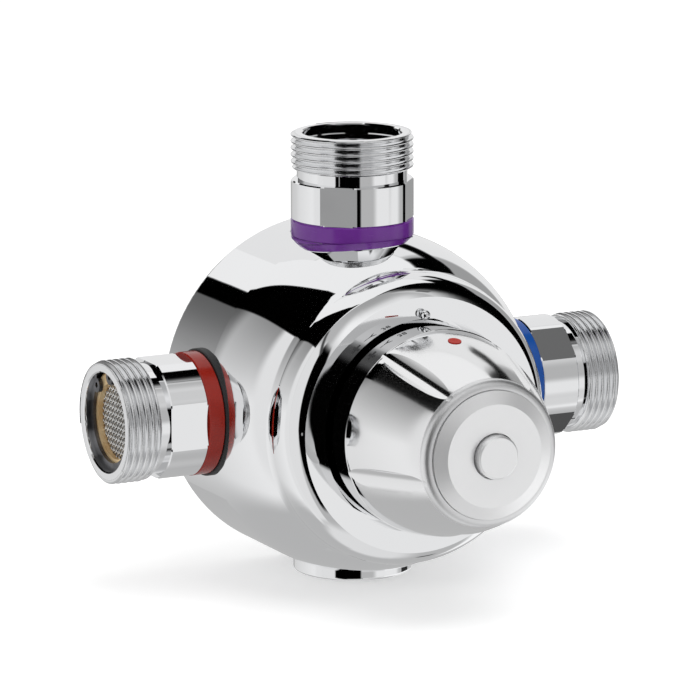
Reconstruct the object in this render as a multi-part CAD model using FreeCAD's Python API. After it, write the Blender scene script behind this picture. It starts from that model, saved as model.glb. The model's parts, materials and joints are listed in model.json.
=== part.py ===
import FreeCAD, Part
import math
import os

# A ball bodied thermostatic mixing valve with three threaded couplings.
# Millimetres. +Z is up, the knob faces -Y, hot water enters at -X and cold water at +X.
# Mixed water leaves at +Z. The origin is the centre of the plug's flat underside.
# Lengths along the knob's axis count forward from the crossing of the port axes.

V = FreeCAD.Vector

# Casting
ball_radius = 59.2
ball_front = 6.5
back_depth = 27.5
back_edge = 2.0
shell_wall = 5.0
web_thickness = 5.0
front_wall = 8.0
housing_wall = 4.5
inlet_seat_cut = 1.2
outlet_seat_cut = 2.7
seat_land = 0.6
port_boss_radius = 20.5

# Collar round the knob
collar_radius = 50.0
collar_fillet = 6.0
collar_land = 0.6
lip_width = 6.2
recess_depth = 8.4

# Couplings, with a G 1 1/4 thread
thread_radius = 20.95
thread_length = 12.2
thread_chamfer = 0.9
undercut_radius = 18.9
undercut_length = 3.8
wrench_radius = 21.0
wrench_length = 13.6
across_flats = 40.0
edge_chamfer = 0.4
ring_width = 5.7
spigot_radius = 17.35
spigot_length = 13.5
socket_wall = 5.5
passage_radius = 13.0
insert_radius = 15.0
insert_shoulder = 1.5
mouth_radius = 16.9
mouth_depth = 11.5
hot_clocking = 0.0
cold_clocking = 45.6
outlet_clocking = 50.0

# Plug under the body
plug_radius = 20.5
plug_flange = 4.0
plug_edge = 1.0
plug_pin_radius = 2.5
plug_pin_depth = 2.5
plug_pin_spacing = 26.0

# Circlip and filter in each inlet
circlip_front = 2.2
circlip_thickness = 1.4
circlip_groove = 1.0
circlip_bore = 14.3
circlip_shift = 0.3
circlip_lug_angle = 22.0
circlip_lug_radius = 2.5
circlip_eye_radius = 0.95
circlip_turn = 23.7
filter_bore = 12.9
mesh_sink = 1.8
mesh_thickness = 0.6
mesh_bite = 0.5
mesh_pitch = 2.4
mesh_bar = 0.7

# Check valve in each inlet
check_wall = 2.85
check_seat_bore = 9.5
check_seat_depth = 3.7
poppet_radius = 10.8
poppet_thickness = 2.4
poppet_stem = 2.0
poppet_lift = 6.0
spider_thickness = 2.5
spider_hub = 4.0
spider_arm = 3.0
check_spring_radius = 6.4
check_spring_wire = 0.5
check_spring_turns = 5

# Thermostatic cartridge, whose stack sets how far the collar stands out
cartridge_radius = 22.0
cartridge_depth = 20.0
sleeve_bore = 17.5
sleeve_floor = 2.4
sleeve_floor_hole = 7.0
shuttle_middle = 7.0
shuttle_length = 12.6
shuttle_wall = 2.9
regulator_travel = 1.5
element_stroke = 0.6
seat_bore = 15.5
seat_length = 4.2
port_window = 6.0
port_window_width = 20.0
mixed_window_length = 5.0
body_window_spare = 2.0
body_window_width = 24.0
seal_reach = 16.8
element_radius = 6.5
element_bulb = 16.0
element_flange = 8.5
element_flange_length = 3.0
element_nose = 5.0
element_nose_length = 5.0
piston_radius = 2.0
piston_depth = 8.0
hub_radius = 10.6
hub_length = 3.0
spoke_width = 3.0
return_spring_radius = 9.0
return_spring_wire = 0.9
return_spring_turns = 5

# Adjuster and spindle
adjuster_radius = 12.5
adjuster_length = 16.0
adjuster_cover = 8.0
piston_showing = 7.44
adjuster_cup_radius = 9.0
adjuster_cup_depth = 8.0
key_width = 3.0
key_height = 1.6
key_length = 10.0
clip_thickness = 1.0
clip_bore = 6.9
clip_groove = 0.6
clip_inset = 0.3
button_radius = 8.6
button_thickness = 1.9
relief_spring_radius = 7.4
relief_spring_wire = 0.5
relief_spring_turns = 2
spindle_radius = 5.0
spindle_neck = 6.0
spindle_neck_length = 9.0
spindle_flange = 8.0
spindle_flange_length = 2.4
spindle_tip = 9.0
drive_radius = 4.5

# Bonnet, gland nut and stop ring
bonnet_thread = 24.0
bonnet_thread_length = 12.0
bonnet_guide_radius = 16.0
bonnet_guide_length = 8.0
bonnet_hex = 46.0
bonnet_hex_length = 5.0
bonnet_neck = 14.0
bonnet_neck_length = 8.0
gland_radius = 9.0
gland_depth = 6.0
gland_head = 11.0
gland_head_length = 3.0
stop_ring_radius = 19.0
stop_ring_length = 4.0
stop_lug_height = 3.4
stop_lug_width = 3.6
knob_swing = 120.0
stop_tab_angle = 10.0
stop_spare_angle = 2.0

# Knob
skirt_radius = 35.0
skirt_gap = 1.4
skirt_sink = 5.4
skirt_showing = 12.0
skirt_wall = 2.6
bell_step = 0.2
bell_length = 34.3
bell_front_radius = 24.9
bell_bulge = 1.66
bell_wall = 3.5
shoulder_radius = 2.7
flute_count = 5
flute_radius = 6.0
flute_bite = 0.05
hub_outer_radius = 9.5
insert_bush_radius = 7.0
insert_flange_length = 2.5
knob_front_wall = 3.8
disc_radius = 21.6
disc_sink = 1.0
disc_rim = 1.8
disc_face_radius = 17.3
disc_thickness = 3.4
cover_radius = 7.3
cover_gap = 0.5
cover_proud = 3.0
cover_edge = 0.6
screw_shank = 2.5
screw_head_radius = 4.25
screw_head_length = 4.6
screw_bite = 14.0
screw_seat = 5.0
washer_radius = 5.4
washer_thickness = 1.0
screw_pocket_radius = 6.2
screw_socket = 2.0
screw_socket_depth = 2.6
dot_radius = 2.25
dot_depth = 0.8
dot_proud = 0.2
dot_reach = 10.9

# Index pin on the collar
pin_circle = 38.0
pin_ball = 1.75
pin_stem = 0.9
pin_sink = 4.0

# Seals and clearances
seal_section = 0.85
small_seal_section = 0.78
seal_groove_spare = 0.5
fit_gap = 0.05
slide_gap = 0.08
seat_gap = 0.1
loose_gap = 0.2


def sphere_reach(radius, across):
    """Half chord of a circle at a distance from its centre."""
    return math.sqrt(radius ** 2 - across ** 2)


# Places that follow from the sizes above
inlet_seat = ball_radius - inlet_seat_cut
outlet_seat = ball_radius - outlet_seat_cut
port_height = outlet_seat + plug_flange
fillet_across = collar_radius + collar_fillet
fillet_reach = ball_front + sphere_reach(ball_radius + collar_fillet, fillet_across)
lip_start = fillet_reach + collar_land
crease_radius = collar_radius - lip_width
ring_radius = wrench_radius
recess_radius = skirt_radius + skirt_gap
button_hole_radius = cover_radius + cover_gap
coupling_length = ring_width + wrench_length + undercut_length + thread_length
mouth_floor = coupling_length - mouth_depth
circlip_back = coupling_length - circlip_front - circlip_thickness
shuttle_front = shuttle_middle + shuttle_length / 2
shuttle_back = shuttle_middle - shuttle_length / 2
seat_clearance = regulator_travel + element_stroke + seat_gap
hub_front = shuttle_back + seal_section + hub_length
nose_front = hub_front + element_flange_length + element_nose_length
adjuster_back = nose_front + piston_showing
adjuster_front = adjuster_back + adjuster_length
cup_floor = adjuster_back + adjuster_cup_depth
recess_floor = adjuster_front + adjuster_cover
collar_face = recess_floor + recess_depth
lip_depth = collar_face - lip_start
bonnet_back = recess_floor - bonnet_thread_length
spindle_shoulder = adjuster_front + regulator_travel + loose_gap + spindle_flange_length + 1.0
neck_front = recess_floor + bonnet_hex_length + bonnet_neck_length
gland_front = neck_front + gland_head_length
stop_ring_back = recess_floor + bonnet_hex_length + 1.0
stop_ring_front = stop_ring_back + stop_ring_length
skirt_back = collar_face - skirt_sink
bell_base = collar_face + skirt_showing
bell_end = bell_base + bell_length
knob_front = bell_end + shoulder_radius
disc_seat = knob_front - disc_sink
cavity_front = disc_seat - knob_front_wall
bush_back = gland_front + 0.5
bush_flange_front = bush_back + insert_flange_length
screw_head_seat = disc_seat - screw_head_length - washer_thickness - 1.2
hub_floor = screw_head_seat - screw_seat
spindle_end = hub_floor - 1.0


def line_or_arc(start, step):
    """One edge of an outline: a straight line, or an arc through a middle point."""
    if isinstance(step[0], tuple):
        middle, end = step
        arc = Part.Arc(V(start[0], 0, start[1]), V(middle[0], 0, middle[1]), V(end[0], 0, end[1]))
        return arc.toShape(), end
    return Part.makeLine(V(start[0], 0, start[1]), V(step[0], 0, step[1])), step


def turned(points):
    """Solid turned about the local Z axis from a closed outline of (radius, height) points."""
    edges = []
    here = points[0]
    for step in list(points[1:]) + [points[0]]:
        edge, here = line_or_arc(here, step)
        edges.append(edge)
    face = Part.Face(Part.Wire(edges))
    return face.revolve(V(0, 0, 0), V(0, 0, 1), 360)


def tube(outer, inner, low, high):
    """Plain tube between two heights."""
    return turned([(inner, low), (outer, low), (outer, high), (inner, high)])


def rod(radius, low, high):
    """Plain round bar between two heights."""
    return Part.makeCylinder(radius, high - low, V(0, 0, low))


def block(width, depth, low, high):
    """Box centred on the local Z axis."""
    return Part.makeBox(width, depth, high - low, V(-width / 2, -depth / 2, low))


def chamfered_tube(outer, inner, low, high, edge):
    """Tube with its outer corners taken off."""
    return turned([(inner, low), (outer - edge, low), (outer, low + edge),
                   (outer, high - edge), (outer - edge, high), (inner, high)])


def ring_seal(groove_radius, height, section):
    """O-ring lying on the floor of its groove."""
    centre = groove_radius + fit_gap / 2 + section
    return Part.makeTorus(centre, section, V(0, 0, height), V(0, 0, 1))


def seal_groove(outer, groove_radius, height, section):
    """Ring to cut away for an O-ring."""
    half = section + seal_groove_spare / 2
    return tube(outer + 1, groove_radius, height - half, height + half)


def coil(radius, wire, low, high, turns):
    """Compression spring between two flat faces."""
    height = high - low - 2 * wire
    helix = Part.makeHelix(height / turns, height, radius)
    helix.translate(V(0, 0, low + wire))
    start = Part.Wire(Part.makeCircle(wire, V(radius, 0, low + wire), V(0, 1, 0)))
    return Part.Wire(helix).makePipeShell([start], True, True)


def spun(shape, angle):
    """Copy turned about the local Z axis."""
    copy = shape.copy()
    copy.rotate(V(0, 0, 0), V(0, 0, 1), angle)
    return copy


def sector(inner, outer, low, high, middle, half_angle):
    """Piece of a ring between two angles, measured from the local Y axis."""
    outline = [V(inner, 0, low), V(outer, 0, low), V(outer, 0, high), V(inner, 0, high)]
    face = Part.Face(Part.makePolygon(outline + [outline[0]]))
    piece = face.revolve(V(0, 0, 0), V(0, 0, 1), 2 * half_angle)
    return spun(piece, 90 + middle - half_angle)


# Directions of the ports and of the knob: axis and angle that turn local Z towards each
WAYS = {
    "hot": (V(0, 1, 0), -90),
    "cold": (V(0, 1, 0), 90),
    "outlet": (V(0, 0, 1), 0),
    "foot": (V(1, 0, 0), 180),
    "knob": (V(1, 0, 0), 90),
}
SEATS = {"hot": inlet_seat, "cold": inlet_seat, "outlet": outlet_seat, "foot": outlet_seat}


def aimed(shape, way):
    """Copy with its local Z axis laid along one of the valve's directions."""
    axis, angle = WAYS[way]
    copy = shape.copy()
    copy.rotate(V(0, 0, 0), axis, angle)
    copy.translate(V(0, 0, port_height))
    return copy


def seated(shape, port):
    """Copy moved out from a port's seat and aimed along the port."""
    copy = shape.copy()
    copy.translate(V(0, 0, SEATS[port]))
    return aimed(copy, port)


def on_arc(centre, radius, angle):
    """Point on a circle in the outline plane, angle from the radius direction."""
    return (centre[0] + radius * math.cos(angle), centre[1] + radius * math.sin(angle))


def ball_outline():
    """Outline of the cast body: flat back, round side, hollow fillet, collar lip and recess."""
    ball = (0, ball_front)
    fillet = (fillet_across, fillet_reach)
    meet_angle = math.atan2(fillet_reach - ball_front, fillet_across)
    meet = on_arc(ball, ball_radius, meet_angle)
    fillet_middle = on_arc(fillet, collar_fillet, (math.pi + meet_angle + math.pi) / 2)
    corner = (ball_radius - back_edge, back_edge - back_depth)
    return [
        (0, -back_depth),
        (ball_radius - back_edge, -back_depth),
        (on_arc(corner, back_edge, -math.pi / 4), (ball_radius, back_edge - back_depth)),
        (ball_radius, ball_front),
        (on_arc(ball, ball_radius, meet_angle / 2), meet),
        (fillet_middle, (collar_radius, fillet_reach)),
        (collar_radius, lip_start),
        lip_arc(),
        (recess_radius, collar_face),
        (recess_radius, recess_floor),
        (0, recess_floor),
    ]


def lip_arc():
    """Rounded lip: leaves the collar's side smoothly and ends in a crease at the face."""
    radius = (lip_depth ** 2 + lip_width ** 2) / (2 * lip_width)
    centre = (collar_radius - radius, lip_start)
    end_angle = math.asin(lip_depth / radius)
    return (on_arc(centre, radius, end_angle / 2), (crease_radius, collar_face))


def cast_pockets():
    """Four cored chambers: hot, cold and two mixed, parted by the webs and the housing."""
    inner = ball_radius - shell_wall
    front = recess_floor - front_wall
    back = shell_wall - back_depth
    rise = front - ball_front
    end_angle = math.asin(rise / inner)
    middle = on_arc((0, ball_front), inner, end_angle / 2)
    end = on_arc((0, ball_front), inner, end_angle)
    core = turned([(0, back), (inner, back), (inner, ball_front), (middle, end), (0, front)])
    core = core.cut(rod(cartridge_radius + housing_wall, back - 1, front + 1))
    for angle in (45, 135):
        web = block(4 * ball_radius, web_thickness, back - 1, front + 1)
        core = core.cut(spun(web, angle))
    return aimed(core, "knob")


def body_windows():
    """Openings from the cored chambers into the cartridge bore."""
    reach = cartridge_radius + housing_wall + 2
    hot_low = shuttle_front + seat_clearance / 2 - port_window / 2 - body_window_spare
    hot = Part.makeBox(reach, body_window_width, port_window + 2 * body_window_spare,
                       V(-reach, -body_window_width / 2, hot_low))
    cold_low = shuttle_back - seat_clearance / 2 - port_window / 2 - body_window_spare
    cold = Part.makeBox(reach, body_window_width, port_window + 2 * body_window_spare,
                        V(0, -body_window_width / 2, cold_low))
    mixed_low = sleeve_floor - cartridge_depth
    mixed = block(body_window_width, 2 * reach, mixed_low, mixed_low + mixed_window_length + 1)
    return [aimed(shape, "knob") for shape in (hot, cold, mixed)]


def make_body():
    """The casting, with its port bosses, sockets, cartridge bore and pin hole."""
    body = aimed(turned(ball_outline()), "knob")
    pockets = cast_pockets()
    socket_radius = spigot_radius + fit_gap
    for port in ("hot", "cold", "outlet", "foot"):
        land = rod(port_boss_radius, -spigot_length, 0)
        body = body.fuse(seated(land, port))
    for port in ("hot", "cold", "outlet", "foot"):
        boss = rod(socket_radius + socket_wall, -spigot_length, 0)
        pockets = pockets.cut(seated(boss, port))
    body = body.cut(pockets)
    for port in ("hot", "cold", "outlet", "foot"):
        cleared = rod(ring_radius + seat_land, 0, ring_radius)
        socket = rod(socket_radius, -spigot_length - 1, 1)
        seal_seat = rod(spigot_radius + 2 * seal_section + fit_gap, -2 * seal_section, 1)
        for tool in (cleared, socket, seal_seat):
            body = body.cut(seated(tool, port))
    bore = rod(cartridge_radius, -cartridge_depth, recess_floor + 1)
    thread = rod(bonnet_thread, bonnet_back, recess_floor + 1)
    pin_hole = rod(pin_stem + fit_gap, collar_face - pin_sink - fit_gap, collar_face + 1)
    pin_hole.translate(V(0, pin_circle, 0))
    for tool in (bore, thread, pin_hole):
        body = body.cut(aimed(tool, "knob"))
    for window in body_windows():
        body = body.cut(window)
    return body.removeSplitter()


def make_union(clocking, circlip):
    """Male coupling: spigot into the body, wrench flats, undercut and pipe thread."""
    wrench_front = ring_width + wrench_length
    undercut_front = wrench_front + undercut_length
    edge = edge_chamfer
    outline = [
        (passage_radius, -spigot_length),
        (spigot_radius - edge, -spigot_length),
        (spigot_radius, edge - spigot_length),
        (spigot_radius, ring_width),
        (wrench_radius - edge, ring_width),
        (wrench_radius, ring_width + edge),
        (wrench_radius, wrench_front - edge),
        (wrench_radius - edge, wrench_front),
        (undercut_radius, wrench_front),
        (undercut_radius, undercut_front),
        (thread_radius - thread_chamfer, undercut_front),
        (thread_radius, undercut_front + thread_chamfer),
        (thread_radius, coupling_length - thread_chamfer),
        (thread_radius - thread_chamfer, coupling_length),
        (mouth_radius + edge, coupling_length),
        (mouth_radius, coupling_length - edge),
        (mouth_radius, mouth_floor),
        (insert_radius, mouth_floor),
        (insert_radius, -insert_shoulder),
        (passage_radius, -insert_shoulder),
    ]
    union = turned(outline)
    for quarter in range(4):
        flat = Part.makeBox(wrench_radius, 2 * wrench_radius, wrench_length,
                            V(across_flats / 2, -wrench_radius, ring_width))
        union = union.cut(spun(flat, clocking + 90 * quarter))
    if circlip:
        groove = mouth_radius + circlip_groove
        union = union.cut(tube(groove, mouth_radius - 1, circlip_back - fit_gap,
                               circlip_back + circlip_thickness + fit_gap))
    return union


def make_coloured_ring():
    """Plastic marking ring between the body and a coupling."""
    return chamfered_tube(ring_radius, spigot_radius + fit_gap, 0, ring_width, edge_chamfer)


def make_union_seal():
    """O-ring at the root of a spigot."""
    return ring_seal(spigot_radius, -seal_section, seal_section - fit_gap / 2)


def make_plug():
    """Blanking plug with a smooth round flange and two spanner holes."""
    foot = plug_flange
    outline = [
        (0, -spigot_length),
        (spigot_radius, -spigot_length),
        (spigot_radius, 0),
        (plug_radius, 0),
        (plug_radius, foot - plug_edge),
        (on_arc((plug_radius - plug_edge, foot - plug_edge), plug_edge, math.pi / 4),
         (plug_radius - plug_edge, foot)),
        (0, foot),
    ]
    plug = turned(outline)
    plug = plug.cut(rod(passage_radius, -spigot_length - 1, -3 * edge_chamfer))
    for side in (-1, 1):
        hole = rod(plug_pin_radius, foot - plug_pin_depth, foot + 1)
        hole.translate(V(side * plug_pin_spacing / 2, 0, 0))
        plug = plug.cut(hole)
    return plug


def make_circlip():
    """Internal circlip with two eyelet lugs."""
    low = circlip_back
    high = low + circlip_thickness
    outer = mouth_radius + circlip_groove - loose_gap
    clip = rod(outer, low, high)
    hole = rod(circlip_bore, low - 1, high + 1)
    hole.translate(V(0, circlip_shift, 0))
    clip = clip.cut(hole)
    clip = clip.cut(sector(circlip_bore / 2, outer + 1, low - 1, high + 1, 0, circlip_lug_angle))
    for side in (-1, 1):
        angle = 90 + side * circlip_lug_angle
        lug = rod(circlip_lug_radius, low, high)
        eye = rod(circlip_eye_radius, low - 1, high + 1)
        for shape in (lug, eye):
            shape.translate(V(outer - circlip_lug_radius - fit_gap, 0, 0))
        clip = clip.fuse(spun(lug, angle)).cut(spun(eye, angle))
    return spun(clip, circlip_turn - 90)


def make_filter_ring():
    """Brass carrier that holds the filter mesh against the mouth's step."""
    low = mouth_floor
    high = circlip_back
    outer = mouth_radius - fit_gap
    ring = chamfered_tube(outer, filter_bore, low, high, edge_chamfer)
    groove_low = high - mesh_sink - mesh_thickness - fit_gap
    groove = tube(filter_bore + mesh_bite + fit_gap, filter_bore - 1,
                  groove_low, high - mesh_sink + fit_gap)
    return ring.cut(groove)


def make_filter_mesh():
    """Woven filter disc, with its weave as square gaps between crossing bars."""
    high = circlip_back - mesh_sink
    low = high - mesh_thickness
    radius = filter_bore + mesh_bite
    disc = rod(radius, low, high)
    gap = mesh_pitch - mesh_bar
    count = int(filter_bore / mesh_pitch)
    holes = []
    for row in range(-count, count + 1):
        for column in range(-count, count + 1):
            away = math.hypot(row * mesh_pitch, column * mesh_pitch)
            if away + gap * 0.75 < filter_bore:
                hole = block(gap, gap, low - 1, high + 1)
                hole.translate(V(row * mesh_pitch, column * mesh_pitch, 0))
                holes.append(hole)
    return spun(disc.cut(Part.makeCompound(holes)), 45)


def make_check_body():
    """Check valve insert: seat at the mouth end, spider at the inner end."""
    low = fit_gap - insert_shoulder
    high = mouth_floor - fit_gap
    outer = insert_radius - fit_gap
    bore = outer - check_wall
    seat_back = high - check_seat_depth
    shell = turned([(bore, low), (outer, low), (outer, high), (check_seat_bore + 1.5, high),
                    (check_seat_bore, high - 1.5), (check_seat_bore, seat_back), (bore, seat_back)])
    hub = rod(spider_hub, low, low + spider_thickness)
    for arm in range(3):
        bar = Part.makeBox(bore + check_wall / 2, spider_arm, spider_thickness,
                           V(0, -spider_arm / 2, low))
        hub = hub.fuse(spun(bar, 120 * arm))
    shell = shell.fuse(hub)
    shell = shell.cut(rod(poppet_stem + slide_gap, low - 1, low + spider_thickness + 1))
    groove_radius = insert_radius - 2 * seal_section - fit_gap
    return shell.cut(seal_groove(outer, groove_radius, seat_back, seal_section))


def make_check_seal():
    """O-ring round the check valve insert."""
    groove_radius = insert_radius - 2 * seal_section - fit_gap
    seat_back = mouth_floor - fit_gap - check_seat_depth
    return ring_seal(groove_radius, seat_back, seal_section)


def make_poppet():
    """Poppet with its guide stem, shut against the seat."""
    front = mouth_floor - check_seat_depth - 2 * fit_gap
    back = front - poppet_thickness
    stem_end = -insert_shoulder - 1.5
    edge = poppet_thickness / 3
    return turned([(0, stem_end), (poppet_stem, stem_end), (poppet_stem, back),
                   (poppet_radius, back), (poppet_radius, front - edge),
                   (poppet_radius - edge, front), (0, front)])


def make_check_spring():
    """Spring between the spider and the poppet."""
    low = fit_gap - insert_shoulder + spider_thickness
    high = mouth_floor - check_seat_depth - 2 * fit_gap - poppet_thickness
    return coil(check_spring_radius, check_spring_wire, low + fit_gap, high - fit_gap,
                check_spring_turns)


def sleeve_windows():
    """Slots in the sleeve at the hot, cold and mixed stations."""
    hot = shuttle_front + seat_clearance / 2
    cold = shuttle_back - seat_clearance / 2
    mixed_low = sleeve_floor - cartridge_depth + 0.5
    spans = [
        (hot - port_window / 2, hot + port_window / 2),
        (cold - port_window / 2, cold + port_window / 2),
        (mixed_low, mixed_low + mixed_window_length),
    ]
    slots = []
    for low, high in spans:
        for angle in (0, 90):
            slots.append(spun(block(3 * cartridge_radius, port_window_width, low, high), angle))
    return slots


def sleeve_seal_places():
    """Heights of the sleeve's three seals."""
    return (shuttle_middle - seal_reach, shuttle_middle, shuttle_middle + seal_reach)


def make_sleeve():
    """Cartridge sleeve, slotted at three stations and grooved for three seals."""
    low = fit_gap - cartridge_depth
    high = bonnet_back - fit_gap
    outer = cartridge_radius - slide_gap
    sleeve = turned([(sleeve_floor_hole, low), (outer, low), (outer, high), (sleeve_bore, high),
                     (sleeve_bore, low + sleeve_floor), (sleeve_floor_hole, low + sleeve_floor)])
    for slot in sleeve_windows():
        keep = slot.cut(rod(sleeve_bore - 1, -cartridge_depth - 1, high + 1))
        sleeve = sleeve.cut(keep)
    groove_radius = cartridge_radius - 2 * seal_section - fit_gap
    for height in sleeve_seal_places():
        sleeve = sleeve.cut(seal_groove(outer, groove_radius, height, seal_section))
    return sleeve


def make_sleeve_seals():
    """The sleeve's three O-rings."""
    groove_radius = cartridge_radius - 2 * seal_section - fit_gap
    rings = [ring_seal(groove_radius, height, seal_section) for height in sleeve_seal_places()]
    return Part.makeCompound(rings)


def make_hot_seat():
    """Seat ring ahead of the shuttle."""
    low = shuttle_front + seat_clearance
    return tube(sleeve_bore - seat_gap, seat_bore, low, low + seat_length)


def make_cold_seat():
    """Seat ring behind the shuttle."""
    high = shuttle_back - seat_clearance
    return tube(sleeve_bore - seat_gap, seat_bore, high - seat_length, high)


def make_shuttle():
    """Sliding ring that shuts one inlet as it opens the other, on a spoked hub."""
    outer = sleeve_bore - slide_gap
    bore = outer - shuttle_wall
    ring = tube(outer, bore, shuttle_back, shuttle_front)
    hub_back = hub_front - hub_length
    hub = rod(hub_radius, hub_back, hub_front)
    for angle in (0, 90):
        hub = hub.fuse(spun(block(2 * bore + shuttle_wall, spoke_width, hub_back, hub_front), angle))
    ring = ring.fuse(hub)
    ring = ring.cut(rod(element_radius + fit_gap, hub_back - 1, hub_front + 1))
    groove_radius = outer - 2 * small_seal_section
    return ring.cut(seal_groove(outer, groove_radius, shuttle_middle, small_seal_section))


def make_shuttle_seal():
    """O-ring that parts hot from cold round the shuttle."""
    groove_radius = sleeve_bore - slide_gap - 2 * small_seal_section
    return ring_seal(groove_radius, shuttle_middle, small_seal_section)


def piston_end():
    """Where the element's piston meets the relief button."""
    return adjuster_back + clip_inset + clip_thickness + fit_gap


def make_element():
    """Wax element: sensing bulb, flange, nose and the bore for its piston."""
    flange_front = hub_front + element_flange_length
    bulb_back = hub_front - element_bulb
    element = turned([(0, bulb_back), (element_radius - 1, bulb_back),
                      (element_radius, bulb_back + 1), (element_radius, hub_front),
                      (element_flange, hub_front), (element_flange, flange_front),
                      (element_nose, flange_front), (element_nose, nose_front),
                      (0, nose_front)])
    floor = nose_front - piston_depth - 2 * element_stroke
    return element.cut(rod(piston_radius + fit_gap, floor, nose_front + 1))


def make_piston():
    """Push rod of the wax element."""
    return rod(piston_radius, nose_front - piston_depth, piston_end())


def make_return_spring():
    """Spring between the sleeve's floor and the shuttle's hub."""
    low = sleeve_floor - cartridge_depth + 2 * fit_gap
    high = hub_front - hub_length - fit_gap
    return coil(return_spring_radius, return_spring_wire, low, high, return_spring_turns)


def make_adjuster():
    """Screwed slider, keyed against turning, whose cup holds the relief spring."""
    groove_low = adjuster_back + clip_inset - fit_gap
    cup = rod(adjuster_cup_radius, adjuster_back - 1, cup_floor)
    groove = rod(adjuster_cup_radius + clip_groove + fit_gap, groove_low,
                 groove_low + clip_thickness + 2 * fit_gap)
    thread = rod(spindle_radius + slide_gap, cup_floor - 1, adjuster_front + 1)
    adjuster = rod(adjuster_radius, adjuster_back, adjuster_front)
    keys = block(2 * (adjuster_radius + key_height), key_width,
                 adjuster_front - key_length, adjuster_front)
    adjuster = adjuster.fuse(keys)
    for tool in (cup, groove, thread):
        adjuster = adjuster.cut(tool)
    return adjuster


def make_adjuster_clip():
    """Split ring that keeps the relief button in the cup."""
    low = adjuster_back + clip_inset
    outer = adjuster_cup_radius + clip_groove
    ring = tube(outer, clip_bore, low, low + clip_thickness)
    return ring.cut(sector(clip_bore - 1, outer + 1, low - 1, low + clip_thickness + 1, 0, 8))


def make_relief_button():
    """Pressure pad between the piston and the relief spring."""
    low = piston_end()
    return chamfered_pad(button_radius, low, low + button_thickness, edge_chamfer)


def chamfered_pad(radius, low, high, edge):
    """Round pad with its corners taken off."""
    return turned([(0, low), (radius - edge, low), (radius, low + edge),
                   (radius, high - edge), (radius - edge, high), (0, high)])


def make_relief_spring():
    """Spring that gives way when the element grows past a shut seat."""
    low = piston_end() + button_thickness + fit_gap
    return coil(relief_spring_radius, relief_spring_wire, low, cup_floor - fit_gap,
                relief_spring_turns)


def spindle_seal_places():
    """Heights of the two seals on the spindle's neck."""
    first = spindle_shoulder + spindle_neck_length / 4
    return (first, first + spindle_neck_length / 2)


def make_spindle():
    """Spindle: screw inside, thrust flange, sealed neck and a drive end for the knob."""
    tip = adjuster_front - spindle_tip
    flange_back = spindle_shoulder - spindle_flange_length
    neck_end = spindle_shoulder + spindle_neck_length
    end = spindle_end
    edge = edge_chamfer
    spindle = turned([
        (0, tip), (spindle_radius - edge, tip), (spindle_radius, tip + edge),
        (spindle_radius, flange_back), (spindle_flange, flange_back),
        (spindle_flange, spindle_shoulder - fit_gap), (spindle_neck, spindle_shoulder - fit_gap),
        (spindle_neck, neck_end), (spindle_radius, neck_end),
        (spindle_radius, bush_back), (drive_radius, bush_back),
        (drive_radius, end - edge), (drive_radius - edge, end), (0, end)])
    groove_radius = spindle_neck - 2 * small_seal_section
    for height in spindle_seal_places():
        spindle = spindle.cut(seal_groove(spindle_neck, groove_radius, height, small_seal_section))
    return spindle.cut(rod(screw_shank + fit_gap, end - screw_bite, end + 1))


def make_spindle_seals():
    """The two O-rings on the spindle's neck."""
    groove_radius = spindle_neck - 2 * small_seal_section
    rings = [ring_seal(groove_radius, height, small_seal_section)
             for height in spindle_seal_places()]
    return Part.makeCompound(rings)


def hexagon(across, low, high):
    """Hexagonal prism by its width across flats."""
    corner = across / math.sqrt(3)
    points = [V(corner * math.cos(math.radians(60 * k)), corner * math.sin(math.radians(60 * k)), low)
              for k in range(6)]
    face = Part.Face(Part.makePolygon(points + [points[0]]))
    return face.extrude(V(0, 0, high - low))


def chamfered_hexagon(across, low, high):
    """Hexagon with its front corners turned off, as on a nut."""
    corner = across / math.sqrt(3)
    drop = (corner - across / 2) / math.sqrt(3)
    cap = turned([(0, low), (corner, low), (corner, high - drop), (across / 2, high), (0, high)])
    return hexagon(across, low, high).common(cap)


def make_bonnet():
    """Headwork that screws into the body and carries the spindle and the stop ring."""
    hex_front = recess_floor + bonnet_hex_length
    guide_back = bonnet_back - bonnet_guide_length
    bonnet = rod(bonnet_thread - fit_gap, bonnet_back, recess_floor)
    bonnet = bonnet.fuse(rod(bonnet_guide_radius, guide_back, bonnet_back + 1))
    bonnet = bonnet.fuse(chamfered_hexagon(bonnet_hex, recess_floor, hex_front))
    bonnet = bonnet.fuse(rod(bonnet_neck, hex_front - 1, neck_front))
    guide_front = spindle_shoulder - spindle_flange_length - loose_gap
    tools = [
        rod(adjuster_radius + slide_gap, guide_back - 1, guide_front),
        block(2 * (adjuster_radius + key_height + slide_gap), key_width + 2 * slide_gap,
              guide_back - 1, guide_front),
        rod(spindle_flange + loose_gap, guide_front - 1, spindle_shoulder),
        rod(spindle_neck + slide_gap, spindle_shoulder - 1, neck_front + 1),
        rod(gland_radius, neck_front - gland_depth, neck_front + 1),
    ]
    for tool in tools:
        bonnet = bonnet.cut(tool)
    groove = tube(bonnet_thread - fit_gap, bonnet_thread - 2 * seal_section - 3 * fit_gap,
                  recess_floor - 2 * seal_section - 2 * fit_gap, recess_floor)
    return bonnet.cut(groove).removeSplitter()


def make_bonnet_seal():
    """O-ring under the bonnet's hexagon."""
    centre = bonnet_thread - seal_section - 2 * fit_gap
    return Part.makeTorus(centre, seal_section, V(0, 0, recess_floor - seal_section - fit_gap),
                          V(0, 0, 1))


def make_gland_nut():
    """Nut that closes the bonnet's neck round the spindle."""
    shank = rod(gland_radius - fit_gap, neck_front - gland_depth + loose_gap, neck_front)
    nut = shank.fuse(chamfered_hexagon(2 * gland_head * math.cos(math.pi / 6), neck_front,
                                       gland_front))
    return nut.cut(rod(spindle_radius + slide_gap, neck_front - gland_depth - 1, gland_front + 1))


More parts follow.
